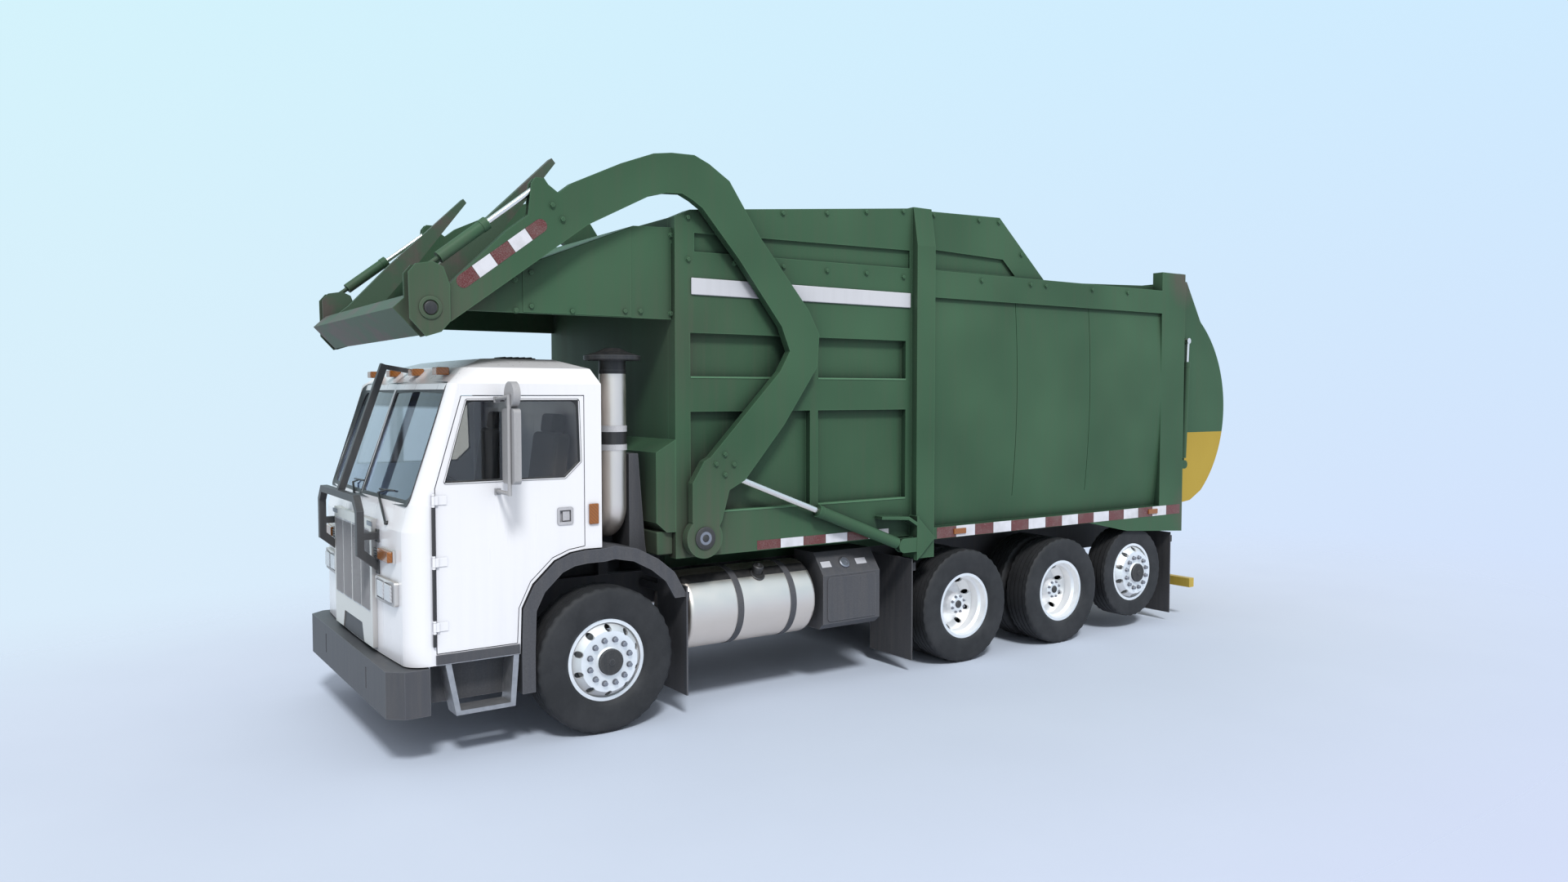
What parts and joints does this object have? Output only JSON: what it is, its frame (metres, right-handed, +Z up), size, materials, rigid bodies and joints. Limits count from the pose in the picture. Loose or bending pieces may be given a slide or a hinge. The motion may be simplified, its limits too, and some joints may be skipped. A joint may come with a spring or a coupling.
{
  "type": "front loader garbage truck",
  "caption": "Cab-over refuse truck with lift arms, tilting forks, an open hopper, a packer blade and a hinged bulging tailgate.",
  "frame": {"origin": "on the ground, midway between the front of the cab guard and the back of the tailgate, on the centre plane", "axes": "+Y rearwards along the truck, +Z up, +X to the driver's side (left, looking forwards)"},
  "size_m": [2.986, 9.3434, 4.245],
  "materials": {
    "cab_paint": "gloss white cab paint",
    "body_paint": "satin green body paint",
    "fork_paint": "worn dark paint",
    "frame_paint": "satin black chassis paint",
    "dark_trim": "moulded dark plastic",
    "tank_metal": "polished aluminium",
    "rim_metal": "polished forged aluminium",
    "rod_chrome": "ground and chromed",
    "step_metal": "mill finish tread plate",
    "rubber_flap": "moulded rubber",
    "tyre_rubber": "vulcanised tyre rubber",
    "cast_metal": "cast and painted",
    "window_glass": "clear laminated glass",
    "seat_cloth": "woven seat cloth",
    "mirror_case": "bright mirror housing"
  },
  "bodies": {
    "chassis": {"ladder_frame": "frame_paint", "front_bumper": "frame_paint", "front_axle": "cast_metal", "rear_axles": "cast_metal", "engine_block": "cast_metal", "fuel_tanks": "tank_metal", "side_boxes": "dark_trim", "front_fenders": "dark_trim", "cab_steps": "step_metal", "mudflaps": "rubber_flap", "air_stack": "rod_chrome", "rear_guard": "frame_paint", "cab_shell": "cab_paint", "cab_front": "cab_paint", "cab_roof": "cab_paint", "windshield": "window_glass", "grille": "tank_metal", "cab_guard": "frame_paint", "seats": "seat_cloth", "dashboard": "dark_trim", "body_sides": "body_paint", "body_floor": "body_paint", "body_roof": "body_paint", "hopper_front": "body_paint", "canopy": "body_paint"},
    "door_left": {"door_left": "cab_paint", "door_glass_left": "window_glass", "mirrors_left": "mirror_case"},
    "door_right": {"door_right": "cab_paint", "door_glass_right": "window_glass", "mirrors_right": "mirror_case"},
    "knuckle_left": {"knuckle_left": "cast_metal"},
    "knuckle_right": {"knuckle_right": "cast_metal"},
    "tie_rod": {"tie_rod": "cast_metal"},
    "lift_arms": {"lift_arms": "body_paint"},
    "forks": {"fork_carriage": "fork_paint"},
    "packer_blade": {"packer_blade": "body_paint"},
    "tailgate": {"tailgate": "body_paint"},
    "lift_barrels": {"lift_cylinder_barrels": "body_paint"},
    "lift_rods": {"lift_cylinder_rods": "rod_chrome"},
    "fork_barrels": {"fork_cylinder_barrels": "body_paint"},
    "fork_rods": {"fork_cylinder_rods": "rod_chrome"},
    "tailgate_barrels": {"tailgate_cylinder_barrels": "body_paint"},
    "tailgate_rods": {"tailgate_cylinder_rods": "rod_chrome"},
    "front_wheel_left": {"front_tyre_left": "tyre_rubber", "front_rim_left": "rim_metal"},
    "front_wheel_right": {"front_tyre_right": "tyre_rubber", "front_rim_right": "rim_metal"},
    "drive_front_wheel_left": {"drive_front_tyre_left": "tyre_rubber", "drive_front_rim_left": "rim_metal"},
    "drive_front_wheel_right": {"drive_front_tyre_right": "tyre_rubber", "drive_front_rim_right": "rim_metal"},
    "drive_rear_wheel_left": {"drive_rear_tyre_left": "tyre_rubber", "drive_rear_rim_left": "rim_metal"},
    "drive_rear_wheel_right": {"drive_rear_tyre_right": "tyre_rubber", "drive_rear_rim_right": "rim_metal"},
    "tag_wheel_left": {"tag_tyre_left": "tyre_rubber", "tag_rim_left": "rim_metal"},
    "tag_wheel_right": {"tag_tyre_right": "tyre_rubber", "tag_rim_right": "rim_metal"}
  },
  "joints": [
    {"name": "steering_left", "type": "hinge", "parent": "chassis", "child": "knuckle_left", "pos_m": [0.88, -3.088, 0.535], "axis": [0, 0, 1], "range_deg": [-35, 35]},
    {"name": "steering_right", "type": "hinge", "parent": "chassis", "child": "knuckle_right", "pos_m": [-0.88, -3.088, 0.535], "axis": [0, 0, 1], "range_deg": [-36, 36]},
    {"name": "tie_rod_slide", "type": "slide", "parent": "chassis", "child": "tie_rod", "axis": [1, 0, 0], "range_m": [-0.14, 0.14]},
    {"name": "front_wheel_left_spin", "type": "hinge", "parent": "knuckle_left", "child": "front_wheel_left", "pos_m": [1.085, -3.088, 0.535], "axis": [1, 0, 0], "continuous": true},
    {"name": "front_wheel_right_spin", "type": "hinge", "parent": "knuckle_right", "child": "front_wheel_right", "pos_m": [-1.085, -3.088, 0.535], "axis": [1, 0, 0], "continuous": true},
    {"name": "drive_front_wheel_left_spin", "type": "hinge", "parent": "chassis", "child": "drive_front_wheel_left", "pos_m": [1.08, 0.522, 0.52], "axis": [1, 0, 0], "continuous": true},
    {"name": "drive_front_wheel_right_spin", "type": "hinge", "parent": "chassis", "child": "drive_front_wheel_right", "pos_m": [-1.08, 0.522, 0.52], "axis": [1, 0, 0], "continuous": true},
    {"name": "drive_rear_wheel_left_spin", "type": "hinge", "parent": "chassis", "child": "drive_rear_wheel_left", "pos_m": [1.08, 1.842, 0.52], "axis": [1, 0, 0], "continuous": true},
    {"name": "drive_rear_wheel_right_spin", "type": "hinge", "parent": "chassis", "child": "drive_rear_wheel_right", "pos_m": [-1.08, 1.842, 0.52], "axis": [1, 0, 0], "continuous": true},
    {"name": "tag_wheel_left_spin", "type": "hinge", "parent": "chassis", "child": "tag_wheel_left", "pos_m": [1.06, 2.982, 0.595], "axis": [1, 0, 0], "continuous": true},
    {"name": "tag_wheel_right_spin", "type": "hinge", "parent": "chassis", "child": "tag_wheel_right", "pos_m": [-1.06, 2.982, 0.595], "axis": [1, 0, 0], "continuous": true},
    {"name": "door_left_swing", "type": "hinge", "parent": "chassis", "child": "door_left", "pos_m": [1.213, -4.328, 1], "axis": [0, 0, -1], "range_deg": [0, 70]},
    {"name": "door_right_swing", "type": "hinge", "parent": "chassis", "child": "door_right", "pos_m": [-1.213, -4.328, 1], "axis": [0, 0, 1], "range_deg": [0, 70]},
    {"name": "arms_lift", "type": "hinge", "parent": "chassis", "child": "lift_arms", "pos_m": [0, -2.304, 1.374], "axis": [1, 0, 0], "range_deg": [-40, 56]},
    {"name": "forks_tilt", "type": "hinge", "parent": "lift_arms", "child": "forks", "pos_m": [0, -4.357, 3.023], "axis": [1, 0, 0], "range_deg": [0, 90]},
    {"name": "packer_slide", "type": "slide", "parent": "chassis", "child": "packer_blade", "axis": [0, 1, 0], "range_m": [0, 1.9]},
    {"name": "tailgate_swing", "type": "hinge", "parent": "chassis", "child": "tailgate", "pos_m": [0, 3.827, 3.735], "axis": [1, 0, 0], "range_deg": [0, 85]},
    {"name": "lift_barrels_swing", "type": "hinge", "parent": "chassis", "child": "lift_barrels", "pos_m": [0, -0.288, 1.15], "axis": [1, 0, 0], "range_deg": [-4, 4]},
    {"name": "lift_rods_slide", "type": "slide", "parent": "lift_barrels", "child": "lift_rods", "axis": [0, -0.9314, 0.3641], "range_m": [-0.36, 0.5]},
    {"name": "fork_barrels_swing", "type": "hinge", "parent": "forks", "child": "fork_barrels", "pos_m": [0, -4.388, 3.27], "axis": [1, 0, 0], "range_deg": [-88, 2]},
    {"name": "fork_rods_slide", "type": "slide", "parent": "fork_barrels", "child": "fork_rods", "axis": [0, 0.7867, 0.6174], "range_m": [0, 0.36]},
    {"name": "tailgate_barrels_swing", "type": "hinge", "parent": "chassis", "child": "tailgate_barrels", "pos_m": [0, 3.837, 1.7], "axis": [1, 0, 0], "range_deg": [-17, 1]},
    {"name": "tailgate_rods_slide", "type": "slide", "parent": "tailgate_barrels", "child": "tailgate_rods", "axis": [0, 0.0481, 0.9988], "range_m": [0, 0.84]}
  ],
  "couplings": [
    {"joint": "steering_right", "follows": "steering_left", "ratio": 1},
    {"joint": "tie_rod_slide", "follows": "steering_left", "m_per_rad": -0.206},
    {"joint": "lift_barrels_swing", "follows": "arms_lift", "ratio": -0.02},
    {"joint": "lift_rods_slide", "follows": "arms_lift", "m_per_rad": 0.5},
    {"joint": "fork_barrels_swing", "follows": "forks_tilt", "ratio": -0.9594},
    {"joint": "fork_rods_slide", "follows": "forks_tilt", "m_per_rad": 0.219},
    {"joint": "tailgate_barrels_swing", "follows": "tailgate_swing", "ratio": -0.183},
    {"joint": "tailgate_rods_slide", "follows": "tailgate_swing", "m_per_rad": 0.544}
  ]
}
